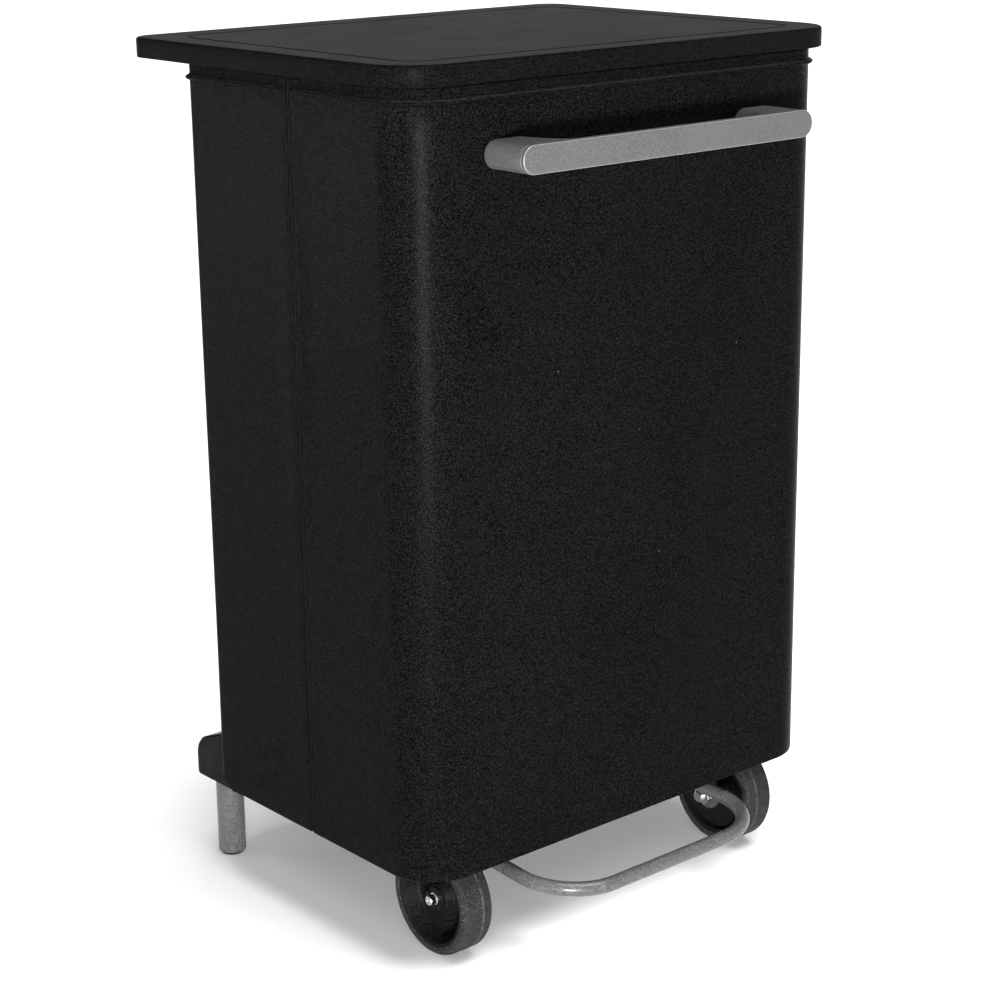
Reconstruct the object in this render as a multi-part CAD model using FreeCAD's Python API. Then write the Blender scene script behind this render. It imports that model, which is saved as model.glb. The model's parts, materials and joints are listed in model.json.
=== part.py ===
import FreeCAD, Part

import math
import os

from FreeCAD import Vector

# Linen trolley: a sheet-steel sack cabinet on two front wheels and two rear legs.
# A foot pedal lifts the lid through a push rod behind the cabinet, and the front
# half of the cabinet is a door. Millimetres. +X right, -Y front, +Z up.
# The origin is on the floor, at the middle of the outer box.

# ---------------------------------------------------------------- driving sizes
HALF_WIDTH = 255.0        # cabinet, outer face of each side
FRONT = -175.0            # cabinet, outer face of the front panel
BACK = 155.0              # cabinet, outer face of the back panel
BOTTOM = 100.0            # lower edge of the cabinet
TOP = 812.5               # upper edge of the cabinet
FRONT_CORNER = 50.0
BACK_CORNER = 12.0
SHEET = 1.5
LIP = 10.0                # width of the lips folded in at the top and bottom edges
BEAD_Z = 800.0            # pressed bead that runs round the cabinet
BEAD_HALF = 3.2
BEAD_OUT = 4.0
SEAM_Y = -2.0             # joint between the door and the rear shell
SEAM_GAP = 2.4
SEAM_FLANGE = 8.0

LID_HALF_WIDTH = 266.0
LID_FRONT = -181.0
LID_BACK = 235.0
LID_BOTTOM = 813.5
LID_TOP = 832.0
LID_FRONT_CORNER = 50.0
LID_BACK_CORNER = 25.0
LID_WALL = 3.0
LID_EDGE_ROUND = 2.5

WHEEL_R = 54.0
WHEEL_Y = -115.0
WHEEL_INNER = 171.0       # inboard face of each wheel
WHEEL_OUTER = 205.0
TYRE_DEPTH = 9.0
AXLE_R = 6.0
AXLE_FLATS = 18.0         # across the flats of the axle's hexagon
AXLE_HEX = 8.0            # its thickness
AXLE_TAIL = 6.0           # how far the axle stands out past the hexagon
RETAINER_INSET = 10.0     # push-on retainer's seat, inboard of the wheel's outer face
RETAINER = 2.0            # its thickness
BRACKET_RAKE = 34.0       # how far the wheel bracket leans back as it rises
PLATE = 3.0               # thickness of the wheel and pedal brackets
FLANGE = 34.0             # width of the wheel bracket's flange under the tray

LEG_X = 215.0
LEG_Y = 197.0
LEG_R = 14.0
LEG_TOP = 118.0

BOX_HALF = 240.0          # linkage box behind the cabinet
BOX_BACK = 216.0
BOX_BOTTOM = 88.0
BOX_TOP_FRONT = 149.0     # roof height where it meets the cabinet
BOX_TOP_BACK = 125.0      # roof height at the back face, before rounding
BOX_ROUND = 20.0
BOX_CAP = 3.0
CAP_SKIRT = 5.0           # how far each end cap reaches into the box

TRAY_Z = 138.0            # underside of the tray that carries the bag
TRAY_FRONT = -165.0
TRAY_HALF = 236.0
TRAY_CORNER = 100.0
TRAY_FLANGE = 18.0
TRAY_RIVETS_Y = (30.0, 80.0, 130.0)
RIVET_R = 2.0
TRAY_RIVET_HEAD = 0.4     # flat heads, painted over

PIVOT_Y = 40.0            # pedal pivot
PIVOT_Z = 90.0
PEDAL_Y = -228.0          # centre of the pedal's front bar
PEDAL_Z = 71.0
PEDAL_HALF = 136.0        # centre of each pedal arm
PEDAL_BEND = 62.0
PEDAL_TAIL = 7.0          # tube left behind the rear bar's centre
TUBE_R = 7.0
TUBE_WALL = 1.5
PIVOT_R = 4.0
ROD_Y = 182.0             # push rod, and the pedal's rear bar under it
ROD_R = 5.0

COLUMN_HALF = 100.0       # channel behind the cabinet that hides the push rod
COLUMN_BACK = 214.0
COLUMN_BOTTOM = 110.0
COLUMN_NOTCH_TOP = 143.0  # the pedal's rear bar swings up in a notch in each cheek
GUIDES_Z = (290.0, 690.0)
HINGE_Y = 200.0           # lid hinge
HINGE_Z = 800.0
HINGE_R = 4.0
LEVER = 19.0              # lid lever, hinge pin to roller
LEVER_ANGLE = 40.0        # below the horizontal with the lid shut
ROLLER_R = 5.0
ROLLER_GAP = 1.0          # play between the rod's head and the roller
FOOT_GAP = 0.6            # play between the pedal's rear bar and the rod's foot

HANDLE_HALF = 176.0
HANDLE_FRONT = -225.0
HANDLE_Z = 752.5
HANDLE_HEIGHT = 25.0
HANDLE_BAR = 12.0         # depth of the bar
HANDLE_COVER = 4.0        # depth of the front cover strip
FINGER_HALF = 125.0       # half width of the finger gap at the panel
FINGER_TAPER = 14.0       # how much narrower it is at the bar
FINGER_ROUND = 16.0       # corners of the finger gap behind the bar
HANDLE_SCREW_X = 162.0

DOOR_HINGE_X = 260.5
DOOR_KNUCKLE_R = 4.2
DOOR_KNUCKLE = 20.0       # each hinge has three knuckles of this length
DOOR_LEAF = 34.0          # hinge axis to the leaf's outer edge
DOOR_PIN_R = 2.0
DOOR_HINGES_Z = (190.0, 690.0)
CATCHES_Z = (240.0, 660.0)

HOOP_HALF = 215.0         # wire hoop that holds the bag's hem
HOOP_FRONT = -145.0
HOOP_BACK = 128.0
HOOP_Z = 780.0
HOOP_R = 4.0
HOOP_CORNER = 42.0

CLEAR = 0.05              # radial running clearance
SIDES = (("left", -1), ("right", 1))
SIGNS = (-1, 1)

os.makedirs("parts", exist_ok=True)


# ---------------------------------------------------------------- small helpers
def save(name, shape):
    """Write one node, checked as one or more closed solids."""
    shape = shape.removeSplitter()
    if not shape.isValid() or not shape.Solids:
        raise ValueError("bad solid: " + name)
    solid = shape.Solids[0] if len(shape.Solids) == 1 else Part.makeCompound(shape.Solids)
    solid.exportStep("parts/%s.step" % name)
    print("%-24s solids %2d  volume %9.1f cm3" % (name, len(shape.Solids), shape.Volume / 1000))


def block(x0, x1, y0, y1, z0, z1):
    return Part.makeBox(x1 - x0, y1 - y0, z1 - z0, Vector(x0, y0, z0))


def rod(radius, start, end):
    start, end = Vector(*start), Vector(*end)
    return Part.makeCylinder(radius, (end - start).Length, start, end - start)


def tube(outer, inner, start, end):
    return rod(outer, start, end).cut(rod(inner, start, end))


def hexagon(across_flats, start, end):
    """A hexagonal head or nut from start to end, along one axis."""
    start, end = Vector(*start), Vector(*end)
    radius = across_flats / math.sqrt(3)
    points = [Vector(radius * math.cos(math.radians(60 * k)), radius * math.sin(math.radians(60 * k)), 0)
              for k in range(7)]
    solid = Part.Face(Part.makePolygon(points)).extrude(Vector(0, 0, (end - start).Length))
    solid.Placement = FreeCAD.Placement(start, FreeCAD.Rotation(Vector(0, 0, 1), end - start))
    return solid


def fuse(shapes):
    shapes = list(shapes)
    return shapes[0].multiFuse(shapes[1:]) if len(shapes) > 1 else shapes[0]


def both_sides(make):
    """The compound of make(-1) and make(+1)."""
    return Part.makeCompound([make(-1), make(1)])


def outline(half, y0, y1, r0, r1, z):
    """Closed wire: a rectangle with front corners r0 and back corners r1, at height z."""
    edges = []
    corners = ((half - r0, y0 + r0, r0, 270), (half - r1, y1 - r1, r1, 0),
               (r1 - half, y1 - r1, r1, 90), (r0 - half, y0 + r0, r0, 180))
    ends = []
    for cx, cy, r, start in corners:
        points = []
        for angle in (start, start + 45, start + 90):
            a = math.radians(angle)
            points.append(Vector(cx + r * math.cos(a), cy + r * math.sin(a), z))
        edges.append(Part.Arc(*points).toShape())
        ends.append((points[0], points[2]))
    for k in range(4):
        edges.append(Part.makeLine(ends[k][1], ends[(k + 1) % 4][0]))
    return Part.Wire(Part.__sortEdges__(edges))


def slab(half, y0, y1, r0, r1, z0, z1):
    return Part.Face(outline(half, y0, y1, r0, r1, z0)).extrude(Vector(0, 0, z1 - z0))


def plate_yz(x0, x1, points):
    """A flat plate across x0 to x1 with a polygon outline of (y, z) points."""
    points = [Vector(x0, y, z) for y, z in points]
    return Part.Face(Part.makePolygon(points + points[:1])).extrude(Vector(x1 - x0, 0, 0))


def link_plate(x0, x1, y0, z0, r0, y1, z1, r1):
    """A plate with round ends: the hull of two circles in the YZ plane."""
    length = math.hypot(y1 - y0, z1 - z0)
    along = math.atan2(z1 - z0, y1 - y0)
    spread = math.acos((r0 - r1) / length)
    points = []
    for turn in (spread, -spread):
        a = along + turn
        points.append((y0 + r0 * math.cos(a), z0 + r0 * math.sin(a)))
        points.append((y1 + r1 * math.cos(a), z1 + r1 * math.sin(a)))
    middle = plate_yz(x0, x1, [points[0], points[1], points[3], points[2]])
    return fuse([middle, rod(r0, (x0, y0, z0), (x1, y0, z0)), rod(r1, (x0, y1, z1), (x1, y1, z1))])


def rounded(shape, radius, pick):
    """Fillet the edges whose centre passes pick."""
    edges = [edge for edge in shape.Edges if pick(edge.CenterOfMass)]
    return shape.makeFillet(radius, edges)


def signed(side, near, far):
    """The low and high x of a span from near to far on one side."""
    return tuple(sorted((side * near, side * far)))


# ---------------------------------------------------------------- cabinet shells
def cabinet_solid(inset):
    """The cabinet's full outline as one solid, inset from the outer face, with the bead."""
    def ring(z, extra):
        grow = extra - inset
        return outline(HALF_WIDTH + grow, FRONT - grow, BACK + grow,
                       FRONT_CORNER + grow, BACK_CORNER + grow, z)

    heights = ((BOTTOM, 0), (BEAD_Z - BEAD_HALF, 0), (BEAD_Z, BEAD_OUT), (BEAD_Z + BEAD_HALF, 0), (TOP, 0))
    pieces = []
    for (z0, e0), (z1, e1) in zip(heights[:-1], heights[1:]):
        pieces.append(Part.makeLoft([ring(z0, e0), ring(z1, e1)], True, True))
    return fuse(pieces)


def lip(z0, z1):
    outer = slab(HALF_WIDTH - 0.5, FRONT + 0.5, BACK - 0.5, FRONT_CORNER - 0.5, BACK_CORNER - 0.5, z0, z1)
    inner = slab(HALF_WIDTH - LIP, FRONT + LIP, BACK - LIP, FRONT_CORNER - LIP, 4, z0 - 1, z1 + 1)
    return outer.cut(inner)


def cabinet_walls():
    walls = cabinet_solid(0).cut(cabinet_solid(SHEET))
    return fuse([walls, lip(BOTTOM, BOTTOM + SHEET), lip(TOP - SHEET, TOP)])


def seam_flange(side, y0):
    x0, x1 = signed(side, HALF_WIDTH - SHEET - SEAM_FLANGE, HALF_WIDTH - 0.5)
    return block(x0, x1, y0, y0 + SHEET, BOTTOM, TOP)


def make_shells():
    walls = cabinet_walls()
    far = 400.0   # beyond the cabinet on every side
    door_edge = SEAM_Y - SEAM_GAP / 2
    rear_edge = SEAM_Y + SEAM_GAP / 2
    door = walls.common(block(-far, far, -far, door_edge, 0, 1000))
    rear = walls.common(block(-far, far, rear_edge, far, 0, 1000))
    door = fuse([door] + [seam_flange(side, door_edge - SHEET) for side in SIGNS])
    rear = fuse([rear] + [seam_flange(side, rear_edge) for side in SIGNS])
    # The pedal arms pass through the foot of the back panel.
    arms_half = PEDAL_HALF + 2 * TUBE_R
    rear = rear.cut(block(-arms_half, arms_half, BACK - LIP - 2, BACK + 1, BOTTOM - 1, TRAY_Z - 1))
    # Holes for the two handle screws.
    for side in SIGNS:
        door = door.cut(rod(3.3, (side * HANDLE_SCREW_X, FRONT - 1, HANDLE_Z),
                            (side * HANDLE_SCREW_X, FRONT + 5, HANDLE_Z)))
    save("door_shell", door)
    save("rear_shell", rear.cut(fuse(tray_rivet_shanks())))


# ---------------------------------------------------------------- handle
def handle_block(y0, y1):
    """The stadium-ended bar outline between two depths."""
    z0, z1 = HANDLE_Z - HANDLE_HEIGHT / 2, HANDLE_Z + HANDLE_HEIGHT / 2
    end = HANDLE_HALF - HANDLE_HEIGHT / 2
    middle = block(-end, end, y0, y1, z0, z1)
    ends = [rod(HANDLE_HEIGHT / 2, (side * end, y0, HANDLE_Z), (side * end, y1, HANDLE_Z)) for side in SIGNS]
    return fuse([middle] + ends)


def make_handle():
    split = HANDLE_FRONT + HANDLE_COVER
    grip = handle_block(split, FRONT)
    # Finger gap: wide at the panel, curving in to the bar.
    bar_back = HANDLE_FRONT + HANDLE_BAR
    z0, z1 = HANDLE_Z - HANDLE_HEIGHT, HANDLE_Z + HANDLE_HEIGHT
    narrow = FINGER_HALF - FINGER_TAPER
    points = [Vector(x, y, z0) for x, y in ((-FINGER_HALF, FRONT + 1), (-narrow, bar_back),
                                            (narrow, bar_back), (FINGER_HALF, FRONT + 1))]
    gap = Part.Face(Part.makePolygon(points + points[:1])).extrude(Vector(0, 0, z1 - z0))
    gap = rounded(gap, FINGER_ROUND, lambda c: abs(c.y - bar_back) < 0.1 and abs(abs(c.x) - narrow) < 0.1)
    grip = grip.cut(gap)
    grip = rounded(grip, 2.0, lambda c: abs(c.z - HANDLE_Z) > 12 and split + 1 < c.y < FRONT - 1
                   and abs(c.x) < FINGER_HALF)
    for side in SIGNS:
        x = side * HANDLE_SCREW_X
        grip = grip.cut(rod(2.6, (x, FRONT - 26, HANDLE_Z), (x, FRONT + 1, HANDLE_Z)))
    save("handle_grip", grip)
    cover = handle_block(HANDLE_FRONT, split)
    cover = rounded(cover, 1.4, lambda c: abs(c.y - HANDLE_FRONT) < 0.1)
    save("handle_cover", cover)

    def screw(side):
        x = side * HANDLE_SCREW_X
        shank = rod(2.5, (x, FRONT - 24, HANDLE_Z), (x, FRONT + SHEET, HANDLE_Z))
        head = rod(5.5, (x, FRONT + SHEET, HANDLE_Z), (x, FRONT + SHEET + 3.2, HANDLE_Z))
        return fuse([shank, head])

    save("handle_screws", both_sides(screw))


# ---------------------------------------------------------------- door hinges and catches
def make_door_hinges():
    def axis(z):
        return (DOOR_HINGE_X, SEAM_Y, z)

    leaf_out = HALF_WIDTH + SHEET
    inner_edge = DOOR_KNUCKLE_R + 1.3   # leaf's edge beside the knuckles
    end_gap = 0.3                       # between knuckles, and under their straps
    length = 3 * DOOR_KNUCKLE
    fixed_leaves = []
    moving_leaves = []
    pins = []
    for z0 in DOOR_HINGES_Z:
        fixed = [block(HALF_WIDTH, leaf_out, SEAM_Y + inner_edge, SEAM_Y + DOOR_LEAF, z0, z0 + length)]
        moving = [block(HALF_WIDTH, leaf_out, SEAM_Y - DOOR_LEAF, SEAM_Y - inner_edge, z0, z0 + length)]
        for index in range(3):
            low = z0 + index * DOOR_KNUCKLE + end_gap
            high = z0 + (index + 1) * DOOR_KNUCKLE - end_gap
            toward = 1 if index != 1 else -1
            y0, y1 = sorted((SEAM_Y, SEAM_Y + toward * (inner_edge + 0.5)))
            strap = block(HALF_WIDTH + end_gap, leaf_out + 0.6, y0, y1, low, high)
            leaf = fixed if index != 1 else moving
            leaf += [rod(DOOR_KNUCKLE_R, axis(low), axis(high)), strap]
        bore = rod(DOOR_PIN_R + CLEAR, axis(z0 - 1), axis(z0 + length + 1))
        fixed_leaves.append(fuse(fixed).cut(bore))
        moving_leaves.append(fuse(moving).cut(bore))
        pins.append(rod(DOOR_PIN_R, axis(z0 - 1.5), axis(z0 + length + 1.5)))
    save("door_hinge_fixed", Part.makeCompound(fixed_leaves))
    save("door_hinge_moving", Part.makeCompound(moving_leaves))
    save("door_hinge_pins", Part.makeCompound(pins))


def make_catches():
    inner = HALF_WIDTH - SHEET - SEAM_FLANGE
    rear_edge = SEAM_Y + SEAM_GAP / 2
    door_edge = SEAM_Y - SEAM_GAP / 2
    magnets = []
    strikes = []
    for z in CATCHES_Z:
        body = block(-inner + 0.5, -inner + 10, door_edge - SHEET + 0.3, 12, z, z + 36)
        tab = block(-HALF_WIDTH + SHEET, -inner + 1, rear_edge + SHEET, rear_edge + SHEET + 2, z + 4, z + 32)
        magnets.append(fuse([body, tab]))
        strikes.append(block(-HALF_WIDTH + SHEET, -inner + 10, door_edge - SHEET - 1.2, door_edge - SHEET,
                             z + 2, z + 34))
    save("catch_magnets", Part.makeCompound(magnets))
    save("catch_strikes", Part.makeCompound(strikes))


# ---------------------------------------------------------------- tray and its brackets
def tray_rivet_shanks():
    z = TRAY_Z - TRAY_FLANGE / 2
    return [rod(RIVET_R, (side * (HALF_WIDTH - 4), y, z), (side * HALF_WIDTH, y, z))
            for side in SIGNS for y in TRAY_RIVETS_Y]


def make_tray():
    rear_edge = SEAM_Y + SEAM_GAP / 2 + SHEET
    front = slab(TRAY_HALF, TRAY_FRONT, BACK - SHEET, TRAY_CORNER, 2, TRAY_Z, TRAY_Z + SHEET)
    inside = HALF_WIDTH - SHEET
    rear = block(-inside, inside, rear_edge, BACK - BACK_CORNER, TRAY_Z, TRAY_Z + SHEET)
    edge = block(-TRAY_HALF + TRAY_CORNER, TRAY_HALF - TRAY_CORNER, TRAY_FRONT, TRAY_FRONT + SHEET,
                 TRAY_Z - TRAY_FLANGE, TRAY_Z + SHEET)
    sides = [block(*signed(side, inside - SHEET, inside), rear_edge, BACK - BACK_CORNER,
                   TRAY_Z - TRAY_FLANGE, TRAY_Z + SHEET) for side in SIGNS]
    shanks = tray_rivet_shanks()
    save("bag_tray", fuse([front, rear, edge] + sides).cut(fuse(shanks)))
    z = TRAY_Z - TRAY_FLANGE / 2
    heads = [rod(2 * RIVET_R, (side * HALF_WIDTH, y, z), (side * (HALF_WIDTH + TRAY_RIVET_HEAD), y, z))
             for side in SIGNS for y in TRAY_RIVETS_Y]
    return [fuse(pair) for pair in zip(shanks, heads)]


def make_wheel_mount(name, side):
    """One wheel's bracket. Returns its axle bolt, inner washer and outer retainer."""
    inner = WHEEL_INNER - 2 * PLATE
    x0, x1 = signed(side, inner, inner + PLATE)
    eye, shoulder, neck_z = 16, 22, TRAY_Z - 24
    neck_y = WHEEL_Y + BRACKET_RAKE
    plate = link_plate(x0, x1, WHEEL_Y, WHEEL_R, eye, neck_y, neck_z, shoulder)
    plate = fuse([plate, block(x0, x1, neck_y - shoulder, neck_y + shoulder, neck_z, TRAY_Z)])
    flange = block(*signed(side, inner - FLANGE, inner + PLATE), neck_y - shoulder, neck_y + shoulder,
                   TRAY_Z - PLATE, TRAY_Z)
    axle_hole = rod(AXLE_R, (x0 - 1, WHEEL_Y, WHEEL_R), (x1 + 1, WHEEL_Y, WHEEL_R))
    save("wheel_bracket_%s" % name, fuse([plate, flange]).cut(axle_hole))

    def at(distance):
        return (side * distance, WHEEL_Y, WHEEL_R)

    seat = WHEEL_OUTER - RETAINER_INSET
    bolt = fuse([rod(AXLE_R, at(inner - AXLE_HEX - AXLE_TAIL), at(WHEEL_OUTER + 1)),
                 hexagon(AXLE_FLATS, at(inner - AXLE_HEX), at(inner))])
    washer = tube(11, AXLE_R, at(inner + PLATE), at(WHEEL_INNER - 0.4))
    retainer = tube(10.5, AXLE_R, at(seat), at(seat + RETAINER))
    return bolt, washer, retainer


def make_axles():
    sets = [make_wheel_mount(name, side) for name, side in SIDES]
    for node, shapes in zip(("axle_bolts", "axle_washers", "axle_retainers"), zip(*sets)):
        save(node, Part.makeCompound(list(shapes)))


def revolve_on_axle(side, profile):
    """Turn a profile of (x distance, radius) points about the wheel's axle."""
    points = [Vector(side * x, WHEEL_Y, WHEEL_R + r) for x, r in profile]
    face = Part.Face(Part.makePolygon(points + points[:1]))
    return face.revolve(Vector(0, WHEEL_Y, WHEEL_R), Vector(1, 0, 0), 360)


def make_wheel(name, side):
    width_in, width_out = WHEEL_INNER, WHEEL_OUTER
    seat = WHEEL_R - TYRE_DEPTH
    groove = width_out - 0.66 * (width_out - width_in)
    shoulder = ((0, 4), (1.4, 1.4), (4, 0))   # rounding of the tread's edges: in from the side, down
    tread = [(width_in, seat)] + [(width_in + x, WHEEL_R - r) for x, r in shoulder]
    tread += [(groove - 0.8, WHEEL_R), (groove, WHEEL_R - 1.0), (groove + 0.8, WHEEL_R)]
    tread += [(width_out - x, WHEEL_R - r) for x, r in reversed(shoulder)] + [(width_out, seat)]
    save("tyre_%s" % name, revolve_on_axle(side, tread))
    bore = AXLE_R + CLEAR
    web_in, web_out = width_in + 9, width_in + 15
    boss_out = width_out - RETAINER_INSET - 0.4
    hub = [(width_in, bore), (width_in, 13), (web_in, 15), (web_in, seat - 6), (width_in + 1, seat - 4),
           (width_in + 1, seat), (width_out - 1, seat), (width_out - 1, seat - 4), (web_out, seat - 7),
           (web_out, 15), (boss_out, 13), (boss_out, bore)]
    save("wheel_hub_%s" % name, revolve_on_axle(side, hub))


# ---------------------------------------------------------------- pedal
SLOPE = math.atan2(PIVOT_Z - PEDAL_Z, PIVOT_Y - PEDAL_Y)
FRONT_REACH = math.hypot(PIVOT_Z - PEDAL_Z, PIVOT_Y - PEDAL_Y)
REAR_REACH = (ROD_Y - PIVOT_Y) / math.cos(SLOPE)


def place_pedal(shape):
    """Move a shape from the pedal's own level frame, pivot at zero, to its place."""
    shape.rotate(Vector(0, 0, 0), Vector(1, 0, 0), math.degrees(SLOPE))
    shape.translate(Vector(0, PIVOT_Y, PIVOT_Z))
    return shape


def pedal_path(rear):
    straight = PEDAL_HALF - PEDAL_BEND
    bow = PEDAL_BEND * math.sqrt(0.5)
    left = [Vector(-PEDAL_HALF, rear, 0), Vector(-PEDAL_HALF, PEDAL_BEND - FRONT_REACH, 0),
            Vector(-straight - bow, PEDAL_BEND - FRONT_REACH - bow, 0), Vector(-straight, -FRONT_REACH, 0)]
    right = [Vector(-p.x, p.y, 0) for p in reversed(left)]
    edges = [Part.makeLine(left[0], left[1]), Part.Arc(left[1], left[2], left[3]).toShape(),
             Part.makeLine(left[3], right[0]), Part.Arc(right[0], right[1], right[2]).toShape(),
             Part.makeLine(right[2], right[3])]
    return Part.Wire(edges)


def pipe(radius, rear):
    profile = Part.Wire(Part.makeCircle(radius, Vector(-PEDAL_HALF, rear, 0), Vector(0, 1, 0)))
    return pedal_path(rear).makePipeShell([profile], True, True)


def make_pedal():
    rear = REAR_REACH + PEDAL_TAIL
    solid_tube = pipe(TUBE_R, rear)
    hollow = pipe(TUBE_R - TUBE_WALL, rear)
    arms_width = PEDAL_HALF + TUBE_R + 2
    pivot_hole = rod(PIVOT_R + CLEAR, (-arms_width, 0, 0), (arms_width, 0, 0))
    cross = rod(TUBE_R, (-PEDAL_HALF, REAR_REACH, 0), (PEDAL_HALF, REAR_REACH, 0)).cut(solid_tube)
    sleeve = rod(TUBE_R + 1, (-PEDAL_HALF, 0, 0), (PEDAL_HALF, 0, 0)).cut(solid_tube)
    save("pedal_bow", place_pedal(solid_tube.cut(hollow).cut(pivot_hole)))
    save("pedal_rear_bar", place_pedal(cross))
    save("pedal_pivot_sleeve", place_pedal(sleeve.cut(pivot_hole)))
    plugs = [fuse([rod(TUBE_R - TUBE_WALL, (s * PEDAL_HALF, rear - 8, 0), (s * PEDAL_HALF, rear, 0)),
                   rod(TUBE_R, (s * PEDAL_HALF, rear, 0), (s * PEDAL_HALF, rear + 1.5, 0))]) for s in SIGNS]
    save("pedal_end_plugs", place_pedal(Part.makeCompound(plugs)))


def make_pedal_pivot():
    near = PEDAL_HALF + TUBE_R + 5

    def bracket(side):
        x0, x1 = signed(side, near, near + PLATE)
        eye, shoulder, neck_z = 12, 18, TRAY_Z - 18
        plate = link_plate(x0, x1, PIVOT_Y, PIVOT_Z, eye, PIVOT_Y, neck_z, shoulder)
        plate = fuse([plate, block(x0, x1, PIVOT_Y - shoulder, PIVOT_Y + shoulder, neck_z, TRAY_Z)])
        foot = block(*signed(side, near, near + 26), PIVOT_Y - shoulder, PIVOT_Y + shoulder,
                     TRAY_Z - PLATE, TRAY_Z)
        hole = rod(PIVOT_R, (x0 - 1, PIVOT_Y, PIVOT_Z), (x1 + 1, PIVOT_Y, PIVOT_Z))
        return fuse([plate, foot]).cut(hole)

    save("pedal_brackets", both_sides(bracket))
    end = near + 7
    save("pedal_pivot_rod", rod(PIVOT_R, (-end, PIVOT_Y, PIVOT_Z), (end, PIVOT_Y, PIVOT_Z)))

    def spacer(side):
        return tube(8, PIVOT_R, (side * (PEDAL_HALF + TUBE_R + 0.4), PIVOT_Y, PIVOT_Z),
                    (side * near, PIVOT_Y, PIVOT_Z))

    def cap(side):
        return tube(7, PIVOT_R, (side * (near + PLATE), PIVOT_Y, PIVOT_Z),
                    (side * (near + PLATE + 2), PIVOT_Y, PIVOT_Z))

    save("pedal_pivot_spacers", both_sides(spacer))
    save("pedal_pivot_clips", both_sides(cap))


# ---------------------------------------------------------------- linkage box and legs
def box_profile(inset):
    """The box's side outline, inset all round, as a closed YZ face with a rounded top."""
    y0, y1 = BACK, BOX_BACK - inset
    z0 = BOX_BOTTOM + inset
    drop = (BOX_TOP_FRONT - BOX_TOP_BACK) / (BOX_BACK - BACK)

    def roof(y):
        return BOX_TOP_FRONT - drop * (y - BACK) - inset * math.hypot(1, drop)

    face = plate_yz(0, 1, [(y0, z0), (y1, z0), (y1, roof(y1)), (y0, roof(y0))])
    return rounded(face, BOX_ROUND - inset, lambda c: abs(c.y - y1) < 0.1 and abs(c.z - roof(y1)) < 0.1)


def box_prism(inset, half):
    """The box's outline stretched from -half to half."""
    face = [f for f in box_profile(inset).Faces if f.CenterOfMass.x < 1e-3][0]
    solid = face.extrude(Vector(2 * half, 0, 0))
    solid.translate(Vector(-half, 0, 0))
    return solid


def make_linkage_box():
    shell = box_prism(0, BOX_HALF - BOX_CAP).cut(box_prism(SHEET, BOX_HALF))
    column_room = block(-COLUMN_HALF, COLUMN_HALF, BACK - 1, COLUMN_BACK, COLUMN_BOTTOM, 160)
    shell = shell.cut(column_room)
    for side in SIGNS:
        x = side * LEG_X
        shell = shell.cut(rod(LEG_R, (x, LEG_Y, BOX_BOTTOM - 1), (x, LEG_Y, BOX_BOTTOM + 3)))
    save("linkage_box", shell)
    for name, side in SIDES:
        seat = BOX_HALF - BOX_CAP
        cap = box_prism(0, BOX_HALF).common(block(*signed(side, seat, BOX_HALF), 0, 300, 0, 300))
        skirt = box_prism(SHEET, BOX_HALF).cut(box_prism(SHEET + 2, BOX_HALF))
        skirt = skirt.common(block(*signed(side, seat - CAP_SKIRT, seat), BACK, 300, 0, 300))
        cap = rounded(cap, 1.2, lambda c: abs(abs(c.x) - BOX_HALF) < 0.05)
        save("box_end_cap_%s" % name, fuse([cap, skirt]))

    plugs = []
    sockets = []
    for name, side in SIDES:
        def at(z):
            return (side * LEG_X, LEG_Y, z)

        save("leg_%s" % name, tube(LEG_R, LEG_R - 2, at(5), at(LEG_TOP)))
        plugs.append(fuse([rod(LEG_R - 2, at(5), at(24)), rod(LEG_R - 0.6, at(1.5), at(5)),
                           rod(LEG_R - 2, at(0), at(1.5))]))
        sockets.append(tube(LEG_R + 1.8, LEG_R, at(BOX_BOTTOM + SHEET), at(LEG_TOP - 6)))
    save("leg_plugs", Part.makeCompound(plugs))
    save("leg_sockets", Part.makeCompound(sockets))

    bar_bottom = PIVOT_Z + REAR_REACH * math.sin(SLOPE) - TUBE_R
    pads = [block(s * 70 - 9, s * 70 + 9, ROD_Y - 8, ROD_Y + 8, BOX_BOTTOM + SHEET, bar_bottom - 0.05)
            for s in SIGNS]
    save("pedal_rest_buffers", Part.makeCompound(pads))


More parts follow.
